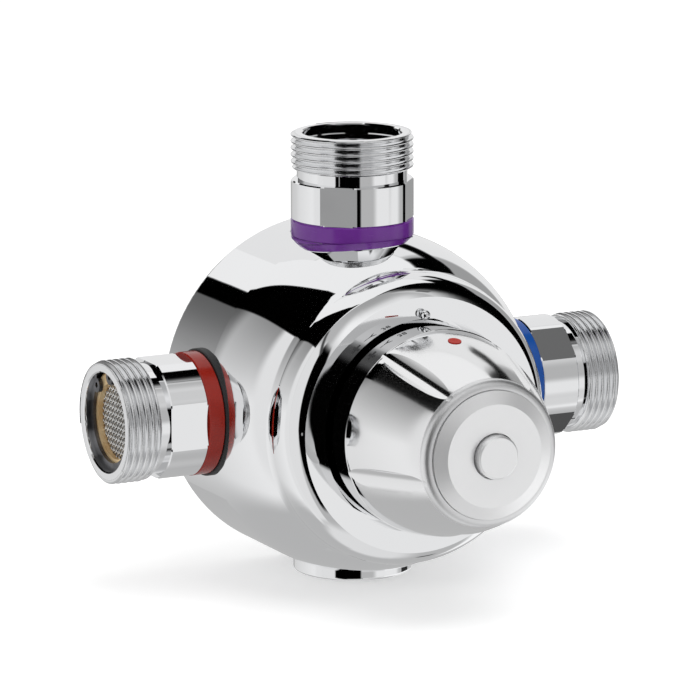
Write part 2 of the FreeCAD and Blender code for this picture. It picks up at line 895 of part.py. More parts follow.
def stop_lug_inner():
    """Inner radius of the stop lug and of the tab that meets it."""
    return stop_ring_radius - stop_lug_width


def make_stop_ring():
    """Ring on the bonnet's neck whose lug ends the knob's turn both ways."""
    ring = tube(stop_ring_radius, bonnet_neck + fit_gap, stop_ring_back, stop_ring_front)
    half = 180 - knob_swing - stop_tab_angle - stop_spare_angle
    lug = sector(stop_lug_inner(), stop_ring_radius, stop_ring_front - 1,
                 stop_ring_front + stop_lug_height, 180, half)
    return ring.fuse(lug)


def bell_circle():
    """Centre and radius of the bell's arc in the outline plane."""
    start = (skirt_radius - bell_step, bell_base)
    end = (bell_front_radius, bell_end)
    chord = math.hypot(end[0] - start[0], end[1] - start[1])
    radius = (chord ** 2 / 4 + bell_bulge ** 2) / (2 * bell_bulge)
    middle = ((start[0] + end[0]) / 2, (start[1] + end[1]) / 2)
    out = ((end[1] - start[1]) / chord, (start[0] - end[0]) / chord)
    sink = radius - bell_bulge
    centre = (middle[0] - out[0] * sink, middle[1] - out[1] * sink)
    top = (middle[0] + out[0] * bell_bulge, middle[1] + out[1] * bell_bulge)
    return centre, radius, top, out


def knob_blank():
    """Knob shell before its flutes: skirt, bell, shoulder and hollow inside."""
    centre, radius, top, out = bell_circle()
    shoulder = (bell_front_radius - shoulder_radius, bell_end)
    inside_top = (top[0] - bell_wall * out[0], top[1] - bell_wall * out[1])
    inside_end = (bell_front_radius - bell_wall, cavity_front)
    return turned([
        (0, cavity_front),
        inside_end,
        (inside_top, (skirt_radius - skirt_wall, bell_base)),
        (skirt_radius - skirt_wall, skirt_back),
        (skirt_radius - edge_chamfer, skirt_back),
        (skirt_radius, skirt_back + edge_chamfer),
        (skirt_radius, bell_base - bell_step),
        (skirt_radius - bell_step, bell_base),
        (top, (bell_front_radius, bell_end)),
        (on_arc(shoulder, shoulder_radius, math.pi / 4), (shoulder[0], knob_front)),
        (0, knob_front),
    ])


def flute_tool():
    """Cylinder that scoops one flute, laid along the bell's chord at the top of the knob."""
    centre, radius, top, out = bell_circle()
    along = (-out[1], out[0])
    lift = flute_radius - bell_bulge - flute_bite
    axis = (top[0] + out[0] * lift, top[1] + out[1] * lift)
    start = V(0, axis[0] - along[0] * bell_length, axis[1] - along[1] * bell_length)
    return Part.makeCylinder(flute_radius, 2 * bell_length, start, V(0, along[0], along[1]))


def dot_shape(radius, sink, proud):
    """Round inlay set square to the bell's face at the top of the knob."""
    centre, bell_radius, top, out = bell_circle()
    angle = math.asin((bell_base + dot_reach - centre[1]) / bell_radius)
    across, ahead = on_arc(centre, bell_radius, angle)
    normal = V(0, math.cos(angle), math.sin(angle))
    return Part.makeCylinder(radius, sink + proud, V(0, across, ahead) - normal * sink, normal)


def make_knob_shell():
    """Fluted knob shell with its hub, screw pocket, disc recess and dot pocket."""
    shell = knob_blank()
    shell = shell.fuse(rod(hub_outer_radius, bush_flange_front, cavity_front + 1))
    for flute in range(flute_count):
        step = 360 / flute_count
        shell = shell.cut(spun(flute_tool(), step * (flute + 0.5)))
    tools = [
        rod(disc_radius + loose_gap, disc_seat, knob_front + 1),
        rod(insert_bush_radius, bush_flange_front - 1, hub_floor),
        rod(screw_shank + loose_gap, hub_floor - 1, screw_head_seat + 1),
        rod(screw_pocket_radius, screw_head_seat, knob_front + 1),
        dot_shape(dot_radius + fit_gap, dot_depth, dot_proud + 2),
    ]
    for tool in tools:
        shell = shell.cut(tool)
    return shell


def make_knob_bush():
    """Splined bush in the knob's hub, with the tab that meets the stop lug."""
    bush = rod(insert_bush_radius - fit_gap, bush_flange_front - 1, hub_floor - fit_gap)
    bush = bush.fuse(rod(stop_ring_radius, bush_back, bush_flange_front))
    tab_back = stop_ring_front + loose_gap
    tab = sector(stop_lug_inner(), stop_ring_radius, tab_back, bush_back + 1, 0, stop_tab_angle)
    bush = bush.fuse(tab)
    return bush.cut(rod(drive_radius + fit_gap, bush_back - 1, hub_floor + 1))


def make_knob_washer():
    """Washer under the knob's screw."""
    return tube(washer_radius, screw_shank + loose_gap, screw_head_seat,
                screw_head_seat + washer_thickness)


def make_knob_screw():
    """Socket headed screw that holds the knob on the spindle."""
    under = screw_head_seat + washer_thickness
    head_front = under + screw_head_length
    low = spindle_end - screw_bite + 1
    screw = turned([(0, low), (screw_shank, low), (screw_shank, under), (screw_head_radius, under),
                    (screw_head_radius, head_front - edge_chamfer),
                    (screw_head_radius - edge_chamfer, head_front), (0, head_front)])
    return screw.cut(hexagon(2 * screw_socket, head_front - screw_socket_depth, head_front + 1))


def make_knob_disc():
    """Face disc with a sloping rim and a hole for the screw cover."""
    low = disc_seat
    high = low + disc_thickness
    return turned([(button_hole_radius, low), (disc_radius, low), (disc_radius, low + disc_rim),
                   (disc_face_radius, high), (button_hole_radius, high)])


def make_screw_cover():
    """Round raised cover pressed in over the screw."""
    low = disc_seat
    high = low + disc_thickness + cover_proud
    spigot = screw_pocket_radius - fit_gap
    return turned([(0, low - 1), (spigot, low - 1), (spigot, low), (cover_radius, low),
                   (cover_radius, high - cover_edge), (cover_radius - cover_edge, high), (0, high)])


def make_index_pin():
    """Ball headed pin that marks the setting on the collar."""
    stem = rod(pin_stem, collar_face - pin_sink, collar_face + pin_ball)
    ball = Part.makeSphere(pin_ball, V(0, 0, collar_face + pin_ball))
    pin = stem.fuse(ball)
    pin.translate(V(0, pin_circle, 0))
    return pin


def save(name, shape):
    """Write one piece to its own file."""
    shape.exportStep("parts/" + name + ".step")
    print(name, len(shape.Solids), round(shape.Volume / 1000, 2), "cm3")


def save_coupling(port, clocking, has_insert):
    """Write one coupling, its marking ring and its seal."""
    save(port + "_union", seated(make_union(clocking, has_insert), port))
    save(port + "_ring", seated(make_coloured_ring(), port))
    save(port + "_union_seal", seated(make_union_seal(), port))


def save_inlet_insert(port):
    """Write the filter and the check valve that sit in one inlet."""
    pieces = {
        "circlip": make_circlip,
        "filter_ring": make_filter_ring,
        "filter_mesh": make_filter_mesh,
        "check_body": make_check_body,
        "check_seal": make_check_seal,
        "check_poppet": make_poppet,
        "check_spring": make_check_spring,
    }
    for name, make in pieces.items():
        save(port + "_" + name, seated(make(), port))


FRONT_PIECES = {
    "cartridge_sleeve": make_sleeve,
    "sleeve_seals": make_sleeve_seals,
    "hot_seat": make_hot_seat,
    "cold_seat": make_cold_seat,
    "shuttle": make_shuttle,
    "shuttle_seal": make_shuttle_seal,
    "wax_element": make_element,
    "element_piston": make_piston,
    "return_spring": make_return_spring,
    "adjuster": make_adjuster,
    "adjuster_clip": make_adjuster_clip,
    "relief_button": make_relief_button,
    "relief_spring": make_relief_spring,
    "spindle": make_spindle,
    "spindle_seals": make_spindle_seals,
    "bonnet": make_bonnet,
    "bonnet_seal": make_bonnet_seal,
    "gland_nut": make_gland_nut,
    "stop_ring": make_stop_ring,
    "knob_shell": make_knob_shell,
    "knob_bush": make_knob_bush,
    "knob_washer": make_knob_washer,
    "knob_screw": make_knob_screw,
    "knob_disc": make_knob_disc,
    "screw_cover": make_screw_cover,
    "index_pin": make_index_pin,
}


os.makedirs("parts", exist_ok=True)
save("valve_body", make_body())
save_coupling("hot", hot_clocking, True)
save_coupling("cold", cold_clocking, True)
save_coupling("outlet", outlet_clocking, False)
save_inlet_insert("hot")
save_inlet_insert("cold")
save("bottom_plug", seated(make_plug(), "foot"))
save("bottom_plug_seal", seated(make_union_seal(), "foot"))
for name, make in FRONT_PIECES.items():
    save(name, aimed(make(), "knob"))
save("pointer_dot", aimed(dot_shape(dot_radius, dot_depth, dot_proud), "knob"))
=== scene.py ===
# %% [markdown]
# A ball bodied water mixing valve, dressed for the camera. This lesson gives every
# solid its finish, and adds what is too fine for the solids: the pipe threads, the
# woven filters, a thin band behind each marking ring that paints the ring's reflection
# in the ball, copies of the springs, and the small signs round the knob's skirt.

# %% Load the imported valve
import bpy
import bmesh
import json
import math
from mathutils import Matrix, Vector


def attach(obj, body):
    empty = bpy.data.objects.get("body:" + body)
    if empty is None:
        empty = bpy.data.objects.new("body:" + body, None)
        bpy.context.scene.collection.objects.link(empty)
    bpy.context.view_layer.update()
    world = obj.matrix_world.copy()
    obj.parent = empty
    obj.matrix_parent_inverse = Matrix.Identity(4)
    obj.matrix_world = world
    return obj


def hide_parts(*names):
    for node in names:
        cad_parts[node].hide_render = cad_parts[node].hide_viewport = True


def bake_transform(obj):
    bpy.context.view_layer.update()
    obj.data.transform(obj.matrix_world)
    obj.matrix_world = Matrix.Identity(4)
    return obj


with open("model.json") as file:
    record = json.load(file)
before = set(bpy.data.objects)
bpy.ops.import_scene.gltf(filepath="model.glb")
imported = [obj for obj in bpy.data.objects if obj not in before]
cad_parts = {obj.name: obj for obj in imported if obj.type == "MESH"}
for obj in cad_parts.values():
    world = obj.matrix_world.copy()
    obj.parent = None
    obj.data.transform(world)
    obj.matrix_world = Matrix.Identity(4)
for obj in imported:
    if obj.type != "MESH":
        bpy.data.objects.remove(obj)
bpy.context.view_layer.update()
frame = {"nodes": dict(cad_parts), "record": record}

# %% [markdown]
# The valve stands on its round plug at the origin. Water comes in along -X and +X,
# and leaves along +Z. The knob faces -Y. The port axes cross 60.5 mm above the floor,
# so most pieces are placed from that crossing. Sizes are in metres unless a name or a
# comment says millimetres.

# %% Places on the valve
mm = 0.001
axis_height = 60.5 * mm
inlet_seat = 58.0 * mm
outlet_seat = 56.5 * mm
ring_width = 5.7 * mm
wrench_length = 13.6 * mm
undercut_length = 3.8 * mm
thread_length = 12.2 * mm
coupling_length = ring_width + wrench_length + undercut_length + thread_length
thread_start = coupling_length - thread_length
thread_radius = 20.95 * mm
thread_root = 19.5 * mm
thread_pitch = 2.309 * mm

WAYS = {
    "hot": Matrix.Rotation(-math.pi / 2, 4, "Y"),
    "cold": Matrix.Rotation(math.pi / 2, 4, "Y"),
    "outlet": Matrix.Identity(4),
}
SEATS = {"hot": inlet_seat, "cold": inlet_seat, "outlet": outlet_seat}


def port_place(port):
    """Matrix from a coupling's own space, root at the origin and mouth up, to the valve."""
    out = Matrix.Translation((0, 0, SEATS[port]))
    return Matrix.Translation((0, 0, axis_height)) @ WAYS[port] @ out


print("coupling length", round(coupling_length, 4))

# %% [markdown]
# Shader maths is easier to read as an expression than as a list of nodes and links.
# This class wraps one socket. Adding, taking away, multiplying and dividing make the
# Math nodes, and ramp makes a smooth step. Any other node comes from one method: its
# type, its settings, then its sockets.

# %% A small language for nodes


class Wire:
    """One output socket of a node tree."""

    def __init__(self, tree, socket):
        self.tree = tree
        self.socket = socket

    def math(self, operation, *others):
        return node(self.tree, "Math", {"operation": operation}, [self, *others])

    def __add__(self, other):
        return self.math("ADD", other)

    def __sub__(self, other):
        return self.math("SUBTRACT", other)

    def __mul__(self, other):
        return self.math("MULTIPLY", other)

    def __truediv__(self, other):
        return self.math("DIVIDE", other)

    def __radd__(self, other):
        return node(self.tree, "Math", {"operation": "ADD"}, [other, self])

    def __rsub__(self, other):
        return node(self.tree, "Math", {"operation": "SUBTRACT"}, [other, self])

    def __rmul__(self, other):
        return node(self.tree, "Math", {"operation": "MULTIPLY"}, [other, self])

    def ramp(self, low, high):
        """Smooth step from 0 at low to 1 at high."""
        settings = {"interpolation_type": "SMOOTHSTEP"}
        sockets = {"Value": self, "From Min": low, "From Max": high}
        return node(self.tree, "MapRange", settings, sockets)


def set_sockets(tree, made, sockets):
    """Give a node its links and plain values, by socket name or number."""
    for name, value in sockets.items():
        if isinstance(value, Wire):
            tree.links.new(value.socket, made.inputs[name])
        else:
            made.inputs[name].default_value = value


def node(tree, kind, settings=None, sockets=None, output=0):
    """Make a node: settings first, then its sockets as a dictionary or in order."""
    made = tree.nodes.new(kind if kind.startswith("Geometry") else "ShaderNode" + kind)
    for name, value in (settings or {}).items():
        setattr(made, name, value)
    if not isinstance(sockets, dict):
        sockets = dict(enumerate(sockets or []))
    set_sockets(tree, made, sockets)
    return Wire(tree, made.outputs[output])


def outputs(wire):
    """All outputs of the node that a wire comes from."""
    return [Wire(wire.tree, socket) for socket in wire.socket.node.outputs]


print("node language ready")

# %% [markdown]
# The camera stands to the hot side of the knob, a little above the valve and far away,
# with a long lens, as product pictures are taken. It could be aimed by eye. Its place
# was worked out from the rims of the couplings, the collar and the knob instead, so that
# every outline falls where it should.

# %% Camera
PICTURE_WIDTH = 700
FOCAL_PIXELS = 5557.6
SENSOR_WIDTH = 36.0


def add_object(name, data):
    """Object for a mesh, text, lamp or camera, linked to the scene."""
    made = bpy.data.objects.new(name, data)
    bpy.context.scene.collection.objects.link(made)
    return made


camera_data = bpy.data.cameras.new("camera")
camera_data.sensor_width = SENSOR_WIDTH
camera_data.lens = SENSOR_WIDTH * FOCAL_PIXELS / PICTURE_WIDTH
camera_data.clip_end = 20
camera = add_object("camera", camera_data)
camera_place = Vector((-0.83351, -1.66404, 0.47142))
camera_right = Vector((0.894168, -0.447730, -0.001474))
camera_up = Vector((0.094246, 0.184998, 0.978209))
camera_back = camera_right.cross(camera_up)
camera_turn = Matrix((camera_right, camera_up, camera_back)).transposed().to_4x4()
camera.matrix_world = Matrix.Translation(camera_place) @ camera_turn
bpy.context.scene.camera = camera
bpy.context.scene.view_settings.view_transform = "Standard"
print("lens", round(camera_data.lens, 1), "mm")

# %% [markdown]
# Chrome has no colour of its own: it shows the room. A studio puts white screens and
# black strips round it, so that each curve gets a crisp edge between light and dark.
# Real sheets could stand round the valve, but they would also shade it. Here the world
# is that room. Only mirror rays see the strips; the camera sees white, and the soft
# light that falls on the coloured rings is even.

# %% Directions in the studio
WHITE = (1, 1, 1, 1)
world = bpy.data.worlds.new("studio")
bpy.context.scene.world = world
world.use_nodes = True
sky = world.node_tree
sky.nodes.clear()


def bearing_and_height(tree):
    """Degrees round from the knob's side, towards the cold inlet, and degrees up."""
    to_degrees = math.degrees(1)
    almost_one = 0.9999
    ray = node(tree, "TexCoord", output="Generated")
    x, y, z = outputs(node(tree, "SeparateXYZ", sockets=[ray]))
    rise = z.math("MAXIMUM", -almost_one).math("MINIMUM", almost_one)
    return x.math("ARCTAN2", y * -1.0) * to_degrees, rise.math("ARCSINE") * to_degrees


bearing, height = bearing_and_height(sky)
print("studio directions ready")

# %% [markdown]
# Every screen is a mask that is 1 on the screen and 0 off it, and a grey that is laid
# over what hangs there already. Squares stand upright between two bearings and two
# heights. Cards have a middle, a half size and a lean. All are in degrees, with soft
# edges. A grey is the level that the eye sees in the picture, from 0 to 1.

# %% Squares, cards and how they hang


def band(value, low, high, soft=2.0):
    """One inside a range and zero outside it, with soft edges."""
    return value.ramp(low - soft, low + soft) * (1 - value.ramp(high - soft, high + soft))


def square(low_bearing, high_bearing, low_height, high_height, soft=1.5):
    """Upright screen between two bearings and two heights."""
    across = band(bearing, low_bearing, high_bearing, soft)
    return across * band(height, low_height, high_height, soft)


def card(middle, half_size, lean=0.0, soft=2.0):
    """Leaning screen: its middle and half size in degrees."""
    turn = math.radians(lean)
    across, up = bearing - middle[0], height - middle[1]
    along = (across * math.cos(turn) + up * math.sin(turn)).math("ABSOLUTE")
    rise = (up * math.cos(turn) - across * math.sin(turn)).math("ABSOLUTE")
    return ((1 - along.ramp(half_size[0] - soft, half_size[0] + soft))
            * (1 - rise.ramp(half_size[1] - soft, half_size[1] + soft)))


def hang(room, screens):
    """Lay screens over the room one after another: each has a name, a mask and a grey."""
    for name, mask, grey in screens:
        room = room + mask * (grey - room)
    print("hung", ", ".join(name for name, mask, grey in screens))
    return room


# %% Screens in front of the knob
room = hang(0.89 - 0.17 * height.ramp(-74, -62), [
    ("dimmer ceiling", height.ramp(58, 84), 0.64),
    ("high white screen", card((0, 48), (42, 15), soft=13), 0.98),
    ("low soft screen", card((20, -36), (34, 14), soft=10), 0.86),
    ("low white screen", card((44, -12), (27, 12), soft=6), 0.93),
    ("dimmer patch up high", card((34, 42), (8, 10), soft=5), 0.82),
    ("dark strip by the knob", card((50, 12), (6, 20), 8, 3), 0.12),
    ("leaning grey strip", card((-6, 31), (3.2, 33), -50, 3), 0.30),
])

# %% Screens on the cold side
fading = 0.82 - 0.78 * bearing.ramp(56, 86)
leaning = bearing - height * 0.12
sill = ((bearing - 130).math("MAXIMUM", 0.0) * 1.3 - 30).math("MINIMUM", 0.0)
wall = (height - sill).ramp(-3, 3) * (1 - height.ramp(48.5, 51.5))
room = hang(room, [
    ("screen that fades to dark", band(bearing, 56, 100) * band(height, 14, 76, 8), fading),
    ("grey patch up high", card((64.5, 58.5), (4, 4), soft=1), 0.42),
    ("leaning black strip", band(leaning, 84.5, 108, 1.5) * band(height, -16, 89, 3), 0.02),
    ("low white screen", square(40, 133, -46, -16, 3), 1.0),
    ("grey patch down low", card((117, -58.2), (3, 3), soft=1), 0.32),
    ("white ceiling at the back", bearing.ramp(112.5, 115.5) * height.ramp(49, 51), 0.96),
    ("black screen under it", square(111, 128, 29, 50), 0.03),
    ("white wall at the back", bearing.ramp(129.5, 132.5) * wall, 0.92),
    ("grey screen", square(113, 131, -12, 29), 0.62),
    ("thin black strip", square(120, 141, 30, 37.5), 0.04),
])

# %% Strips on the hot side
slanted_edge = (-8 - height).math("MAXIMUM", 0.0) * 0.3 - 62
sloping_top = 44 - (bearing + 58).math("MAXIMUM", 0.0) * 0.4
strip = (bearing - slanted_edge).ramp(-1.5, 1.5) * (1 - bearing.ramp(-41, -38))
strip = strip * height.ramp(-58, -50) * (1 - (height - sloping_top).ramp(-4, 4))
slot = 1 - 0.85 * card((-53.5, -10.5), (1.0, 0.8), soft=0.3)
room = hang(room, [
    ("pale wall", square(-92, -61, -66, 47, 3), 0.90),
    ("slanted black strip with a slot", strip * slot, 0.02),
    ("black screen beside it", square(-41, -11, -40, 25, 2), 0.03),
    ("thin grey bar", card((-72, 47), (17, 2.2), -32, 1.5), 0.3),
])

# %% [markdown]
# The largest dark shape on the ball is a black wedge that starts behind the hot inlet.
# Its lower edge is a straight rail in the room, seen at a slant, which is an arctangent
# of a cosine. Its upper edge climbs in a curve, and falls again towards the inlet.

# %% The great wedge behind the hot inlet
eye_power = 2.2
behind = 1 - bearing.ramp(-89.7, -88.1)
rail_slope = math.tan(math.radians(44))
lower_edge = ((bearing + 94) * math.radians(1)).math("COSINE") * rail_slope
lower_edge = lower_edge.math("ARCTANGENT") * math.degrees(1)
above = (height - lower_edge).ramp(-0.6, 0.6)
below = behind * (1 - above)
climb = (bearing + 168).math("MAXIMUM", 0.0) * (-1 / 30)
falling = (-88 - bearing).math("MAXIMUM", 0.0).math("SQRT") * 9 + 46
upper_edge = (89 - 68 * climb.math("EXPONENT")).math("MINIMUM", falling)
over = (height - upper_edge).ramp(-1, 1)
shaded = 0.94 - 0.0088 * height.math("MAXIMUM", 0.0)
shaded = shaded - 0.0015 * (-110 - bearing).math("MAXIMUM", 0.0)
shaded = shaded - 0.30 * (1 - bearing.ramp(-159, -141)) * height.ramp(-14, 4)
skirting = height + (bearing + 175) * 0.42
room = hang(room, [
    ("low wall", below * height.ramp(-76, -64), 0.72),
    ("shaded wall under the wedge", below * skirting.ramp(-37, -19), shaded),
    ("pale corner", below * bearing.ramp(-107, -99) * height.ramp(-72, -64), 0.91),
    ("white over the wedge", behind * over, 0.96),
    ("black wedge", behind * above * (1 - over), 0.01),
])
room = room.math("MAXIMUM", 0.0).math("POWER", eye_power)
print("studio pattern has", len(sky.nodes), "nodes")

# %% World output
SOFT_LIGHT = 0.75
camera_ray = node(sky, "LightPath", output="Is Camera Ray")
glossy_ray = node(sky, "LightPath", output="Is Glossy Ray")
clear_ray = node(sky, "LightPath", output="Is Transmission Ray")
plain, mirror, backdrop = [
    node(sky, "Background", sockets={"Color": WHITE, "Strength": strength})
    for strength in (SOFT_LIGHT, room, 1.0)]
with_mirror = node(sky, "MixShader", sockets=[glossy_ray, plain, mirror])
seen = camera_ray.math("MAXIMUM", clear_ray)
final = node(sky, "MixShader", sockets=[seen, with_mirror, backdrop])
world_out = sky.nodes.new("ShaderNodeOutputWorld")
sky.links.new(final.socket, world_out.inputs["Surface"])
print("world ready")

# %% [markdown]
# The floor is a plain pale sheet that keeps the valve's shadow. A curved paper sweep is
# what a studio uses. A wide flat sheet does as well here, since the world behind it is
# white, and it glows a little for the camera alone, so that no horizon shows. Two large
# soft lamps, one from above and one from the left, model the shapes without a hard edge.

# %% Floor and lamps
FLOOR_HALF = 6.0
PAPER_GREY = 0.94
PAPER_ROUGHNESS = 0.9
PAPER_GLOW = 0.30
VALVE_MIDDLE = (0, 0, 0.06)


def make_floor():
    """Wide pale sheet under the valve."""
    sheet = bpy.data.meshes.new("floor")
    signs = [(-1, -1), (1, -1), (1, 1), (-1, 1)]
    corners = [(x * FLOOR_HALF, y * FLOOR_HALF, 0) for x, y in signs]
    sheet.from_pydata(corners, [], [(0, 1, 2, 3)])
    floor = add_object("floor", sheet)
    paper = bpy.data.materials.new("floor_paper")
    paper.use_nodes = True
    tree = paper.node_tree
    straight = node(tree, "LightPath", output="Is Camera Ray")
    set_sockets(tree, tree.nodes["Principled BSDF"], {
        "Base Color": (PAPER_GREY, PAPER_GREY, PAPER_GREY, 1), "Roughness": PAPER_ROUGHNESS,
        "Emission Strength": 1.0, "Emission Color": straight * PAPER_GLOW})
    sheet.materials.append(paper)
    floor.visible_glossy = False


def soft_lamp(name, place, size, power):
    """Large square lamp that faces the valve, and that mirrors don't see."""
    lamp = bpy.data.lights.new(name, "AREA")
    lamp.size = size
    lamp.energy = power
    holder = add_object(name, lamp)
    holder.location = place
    direction = Vector(VALVE_MIDDLE) - Vector(place)
    holder.rotation_euler = direction.to_track_quat("-Z", "Y").to_euler()
    holder.visible_glossy = False


make_floor()
soft_lamp("top_lamp", place=(0.2, -0.5, 1.6), size=1.2, power=9)
soft_lamp("side_lamp", place=(-1.4, -0.9, 0.7), size=1.0, power=4)
print("floor and lamps ready")

# %% [markdown]
# Every finish starts the same way: a principled surface, and noises in the valve's own
# space for slow unevenness and for fine grain. A picture wrapped round each piece would
# need seams. Noise in space has none, and it stays with the piece in any view. What
# differs is how much of each noise reaches the colour, the roughness and the bump.

# %% Helpers for finishes
FINISHES = {}
MIX_SHARE, MIX_FIRST, MIX_SECOND, MIX_RESULT = 0, 6, 7, 2


def add_finish(name, make_sockets):
    """Material whose principled surface gets the sockets that a function makes."""
    finish = bpy.data.materials.new(name)
    finish.use_nodes = True
    tree = finish.node_tree
    set_sockets(tree, tree.nodes["Principled BSDF"], make_sockets(tree))
    FINISHES[name] = finish


def on_valve(tree):
    """Place of a surface point in the valve's own space."""
    return node(tree, "TexCoord", output="Object")


def noise(tree, scale, detail, stretch=(1, 1, 1)):
    """Noise in the valve's own space, 0 to 1, at a number of waves a metre."""
    place = node(tree, "Mapping", sockets={"Vector": on_valve(tree), "Scale": stretch})
    return node(tree, "TexNoise", {}, {"Vector": place, "Scale": scale, "Detail": detail})


def bump(tree, height_field, distance):
    """Bump node from a height field, with its depth in metres."""
    sockets = {"Strength": 1.0, "Distance": distance, "Height": height_field}
    return node(tree, "Bump", {}, sockets)


def two_tone(tree, share, dark, light):
    """Colour between two shades: dark where share is 0, light where it is 1."""
    sockets = {MIX_SHARE: share, MIX_FIRST: (*dark, 1), MIX_SECOND: (*light, 1)}
    return node(tree, "Mix", {"data_type": "RGBA"}, sockets, MIX_RESULT)


print("finish helpers ready")

# %% [markdown]
# The casting is brass, ground, buffed and plated. A perfect mirror would look drawn.
# Buffing leaves a very slow waviness that bends straight reflections a little, and a
# hint of haze. The tint of chromium is a touch bluer than white. The knob is plated the
# same way, but its flutes are a little softer, and its front rim is satin.

# %% Chrome
rim_start = 98.2 * mm
rim_fade = 0.5 * mm
rim_satin = 0.30
flutes_start, flutes_end = 66 * mm, 70 * mm
flutes_satin = 0.10
hollow_shade = 0.985


def chrome(name, wave_mm, haze, tint=(0.90, 0.905, 0.915), knob=False):
    """Buffed chrome with slow waviness and a trace of haze, softer towards a knob's rim."""
    def sockets(tree):
        slow = noise(tree, 34, 1.0)
        fine = noise(tree, 900, 3.0)
        smears = noise(tree, 90, 4.0).ramp(0.45, 0.8)
        rough = haze + 0.012 * smears + 0.006 * fine
        if knob:
            forward = outputs(node(tree, "SeparateXYZ", {}, [on_valve(tree)]))[1]
            rough = rough + rim_satin * forward.ramp(-rim_start, -rim_start - rim_fade)
            rough = rough + flutes_satin * forward.ramp(-flutes_start, -flutes_end)
        return {
            "Base Color": two_tone(tree, slow, [c * hollow_shade for c in tint], tint),
            "Metallic": 1.0, "Roughness": rough,
            "Normal": bump(tree, slow + fine * 0.012, wave_mm * mm)}
    add_finish(name, sockets)


chrome("polished_casting", wave_mm=0.05, haze=0.02)
chrome("polished_coupling", wave_mm=0.015, haze=0.03)
chrome("rolled_thread", wave_mm=0.015, haze=0.13, tint=(0.84, 0.845, 0.855))
chrome("plated_knob", wave_mm=0.03, haze=0.02, tint=(0.91, 0.913, 0.92), knob=True)
print("chrome finishes", sorted(FINISHES))

# %% [markdown]
# The knob's face plate is plated too, but satin: tiny turned lines spread the light
# round the centre. An anisotropic shader could do that, but one noise of the distance
# from the knob's axis gives real rings, in the bump and in the roughness.

# %% Satin cap
lines_per_metre = 9000.0
line_depth = 0.004 * mm


def ring_lines(tree):
    """Fine turned lines round the knob's axis."""
    centred = node(tree, "Mapping", sockets={
        "Vector": on_valve(tree), "Location": (0, 0, -axis_height), "Scale": (1, 0, 1)})
    reach = node(tree, "VectorMath", {"operation": "LENGTH"}, [centred], "Value")
    return node(tree, "TexNoise", {"noise_dimensions": "1D"}, {
        "W": reach * lines_per_metre, "Scale": 1.0, "Detail": 3.0})


def satin_sockets(tree):
    """Satin chrome with turned lines."""
    lines = ring_lines(tree)
    cloud = noise(tree, 160, 2.0)
    return {
        "Base Color": two_tone(tree, cloud, (0.94, 0.943, 0.95), (0.98, 0.982, 0.986)),
        "Metallic": 0.8, "Roughness": 0.30 + 0.06 * lines + 0.03 * cloud,
        "Normal": bump(tree, lines, line_depth)}


add_finish("satin_cap", satin_sockets)
print("satin cap ready")

# %% [markdown]
# The marking rings are dyed plastic, smooth from the mould. One flat colour would look
# like paint, so the dye is faintly uneven, and fine scuffs catch the light. Seals and
# the knob's dot are made by the same helper, with their own shades and shine.

# %% Plastics and rubber


def plastic(name, dark, light, rough, grain_mm=0.01, shine=0.5):
    """Moulded plastic in two close shades."""
    def sockets(tree):
        cloud = noise(tree, 120, 3.0)
        fine = noise(tree, 2200, 3.0)
        scuffs = noise(tree, 260, 5.0, stretch=(1, 1, 6)).ramp(0.58, 0.72)
        return {
            "Base Color": two_tone(tree, cloud, dark, light),
            "Roughness": rough + 0.12 * scuffs + 0.05 * fine,
            "Specular IOR Level": shine,
            "Normal": bump(tree, fine + 0.4 * scuffs, grain_mm * mm)}
    add_finish(name, sockets)


# Name, dark shade, light shade, roughness, grain in millimetres, shine.
plastic("red_ring_plastic", (0.20, 0.009, 0.004), (0.29, 0.016, 0.008), 0.15, 0.006, 0.35)
plastic("blue_ring_plastic", (0.005, 0.055, 0.27), (0.010, 0.085, 0.36), 0.15, 0.006, 0.3)
plastic("violet_ring_plastic", (0.11, 0.017, 0.21), (0.16, 0.03, 0.29), 0.15, 0.006, 0.45)
plastic("red_dot_plastic", (0.34, 0.012, 0.005), (0.42, 0.022, 0.010), 0.35, 0.01, 0.2)
plastic("white_plastic", (0.74, 0.73, 0.70), (0.80, 0.79, 0.77), 0.38)
plastic("black_plastic", (0.012, 0.012, 0.013), (0.022, 0.022, 0.024), 0.42)
plastic("seal_rubber", (0.010, 0.010, 0.011), (0.020, 0.020, 0.021), 0.55, 0.02)
print("finishes so far", len(FINISHES))

# %% [markdown]
# Bare metals inside the couplings and the casting: turned brass, drawn stainless wire,
# blackened spring steel and copper. Each has cloudy tarnish and fine tool marks. Brass
# in the shade of a mouth goes dull as pure metal, so it is mixed with some plain colour.

# %% Bare metals
mark_depth = 0.006 * mm


def bare_metal(name, dark, light, rough, metallic=1.0):
    """Machined metal with tarnish and fine tool marks."""
    def sockets(tree):
        tarnish = noise(tree, 210, 4.0)
        marks = noise(tree, 1500, 2.0)
        return {
            "Base Color": two_tone(tree, tarnish.ramp(0.3, 0.75), dark, light),
            "Metallic": metallic, "Roughness": rough + 0.10 * tarnish + 0.05 * marks,
            "Normal": bump(tree, marks, mark_depth)}
    add_finish(name, sockets)


# Name, dark shade, light shade, roughness.
bare_metal("turned_brass", (0.86, 0.58, 0.28), (0.98, 0.78, 0.48), 0.34, metallic=0.65)
bare_metal("stainless_wire", (0.70, 0.70, 0.69), (0.90, 0.90, 0.89), 0.26)
bare_metal("dark_spring_steel", (0.09, 0.09, 0.095), (0.19, 0.19, 0.20), 0.28)
bare_metal("copper_skin", (0.52, 0.20, 0.10), (0.78, 0.38, 0.22), 0.25)
print("finishes", len(FINISHES))

# %% [markdown]
# Each solid has a slot named in the record. Finishes could be given solid by solid, but
# one table from slot to finish keeps pieces of one material alike.

